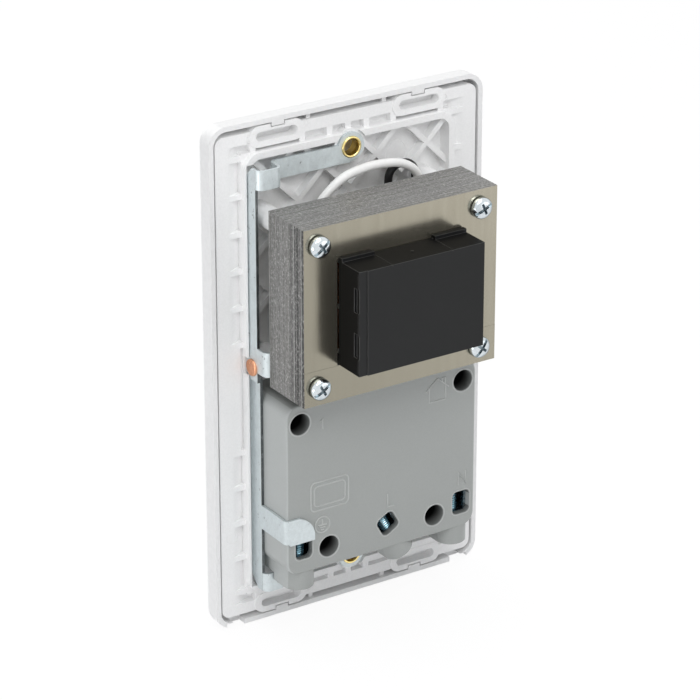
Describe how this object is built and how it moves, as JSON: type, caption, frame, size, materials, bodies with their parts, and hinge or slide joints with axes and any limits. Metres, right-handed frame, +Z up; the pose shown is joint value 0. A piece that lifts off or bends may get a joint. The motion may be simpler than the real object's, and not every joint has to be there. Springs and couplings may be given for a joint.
{
  "type": "shaver socket",
  "caption": "Wall-mounted shaver socket with a built-in isolating transformer, shuttered pin openings in its cover, rear wire terminals and an earth strap.",
  "frame": {"origin": "centre of the wall plane, midway between the two wall fixing eyelets", "axes": "+Z up along the long side, +X to the right seen from the front, +Y to the rear into the wall; the front face looks along -Y"},
  "size_m": [0.086, 0.0436, 0.146],
  "materials": {
    "white_cover": "satin moulded urea plastic",
    "white_chassis": "matt moulded plastic",
    "grey_housing": "matt moulded plastic",
    "black_plastic": "satin moulded plastic",
    "cream_plastic": "matt moulded plastic",
    "core_steel": "rolled silicon steel sheet",
    "zinc_steel": "bright zinc plated",
    "strap_steel": "pale blue zinc plated sheet",
    "eyelet_brass": "plain brass",
    "contact_brass": "plain brass strip",
    "copper": "plain copper",
    "winding_copper": "enamelled copper wire",
    "spring_steel": "spring wire",
    "lead_white": "smooth insulation",
    "lead_black": "smooth insulation",
    "lead_brown": "smooth insulation"
  },
  "bodies": {
    "base": {"black_lead": "lead_black", "chassis": "white_chassis", "coil_bobbin": "cream_plastic", "coil_cover_front": "black_plastic", "coil_cover_rear": "black_plastic", "common_lead": "lead_white", "contact_common": "contact_brass", "contact_high": "contact_brass", "contact_low": "contact_brass", "core_e_laminations": "core_steel", "core_i_laminations": "core_steel", "earth_strap_lower": "strap_steel", "earth_strap_upper": "strap_steel", "eyelet_bottom": "eyelet_brass", "eyelet_top": "eyelet_brass", "front_plate": "white_cover", "housing_screw_1": "zinc_steel", "housing_screw_2": "zinc_steel", "housing_screw_3": "zinc_steel", "housing_screw_4": "zinc_steel", "live_link": "lead_brown", "low_voltage_lead": "lead_white", "primary_live_lead": "lead_brown", "primary_winding": "winding_copper", "rear_housing": "grey_housing", "secondary_winding": "winding_copper", "shutter_spring": "spring_steel", "socket_insert": "white_cover", "strap_rivet": "copper", "switch_contact_feed": "contact_brass", "switch_contact_primary": "contact_brass", "terminal_earth": "zinc_steel", "terminal_live": "zinc_steel", "terminal_neutral": "zinc_steel", "terminal_screw_earth": "zinc_steel", "terminal_screw_live": "zinc_steel", "terminal_screw_neutral": "zinc_steel", "thermal_fuse": "cream_plastic", "transformer_screw_1": "zinc_steel", "transformer_screw_2": "zinc_steel", "transformer_screw_3": "zinc_steel", "transformer_screw_4": "zinc_steel", "white_lead": "lead_white"},
    "shutter": {"shutter": "cream_plastic", "switch_bridge": "copper"}
  },
  "joints": [
    {"name": "shutter_slide", "type": "slide", "parent": "base", "child": "shutter", "axis": [0, 0, -1], "range_m": [0, 0.007], "stiffness_N_per_m": 120, "springref_m": -0.006, "deforming": ["shutter_spring"]}
  ]
}
